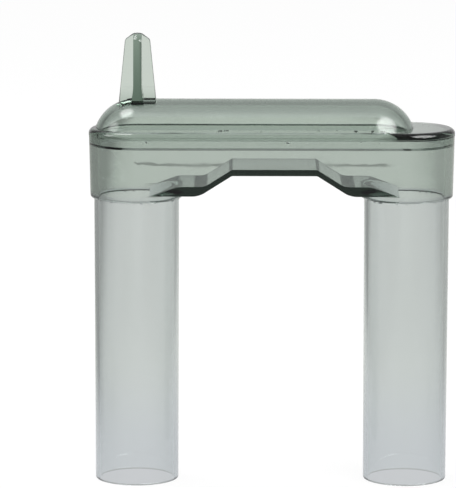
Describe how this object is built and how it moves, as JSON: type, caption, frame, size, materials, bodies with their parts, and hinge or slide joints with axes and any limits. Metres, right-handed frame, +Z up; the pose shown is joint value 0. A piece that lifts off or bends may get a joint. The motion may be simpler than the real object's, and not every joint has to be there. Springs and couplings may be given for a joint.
{
  "type": "twin-leg airlock bridge tube",
  "caption": "Clear smoke-tinted bridge tube: open legs cemented under a long hollow body with an arched floor, a domed lid and a crossed-fin peg, carrying gas or liquid from leg to leg.",
  "frame": {"origin": "on the floor plane under the legs, midway between the two leg axes", "axes": "+Z up along the legs, X along the bridge with the peg on the -X side, Y across the bridge"},
  "size_m": [0.1376, 0.036, 0.17],
  "materials": {
    "bridge_plastic": "clear smoke grey-green moulding, polished",
    "leg_plastic": "clear smoke grey tube, polished",
    "cement": "cured clear cement with small bubbles"
  },
  "bodies": {
    "root": {"bridge_body": "bridge_plastic", "bridge_lid": "bridge_plastic", "finned_peg": "bridge_plastic", "left_leg": "leg_plastic", "right_leg": "leg_plastic", "lid_cement_bead": "cement", "left_leg_cement_bead": "cement", "right_leg_cement_bead": "cement"}
  },
  "joints": []
}
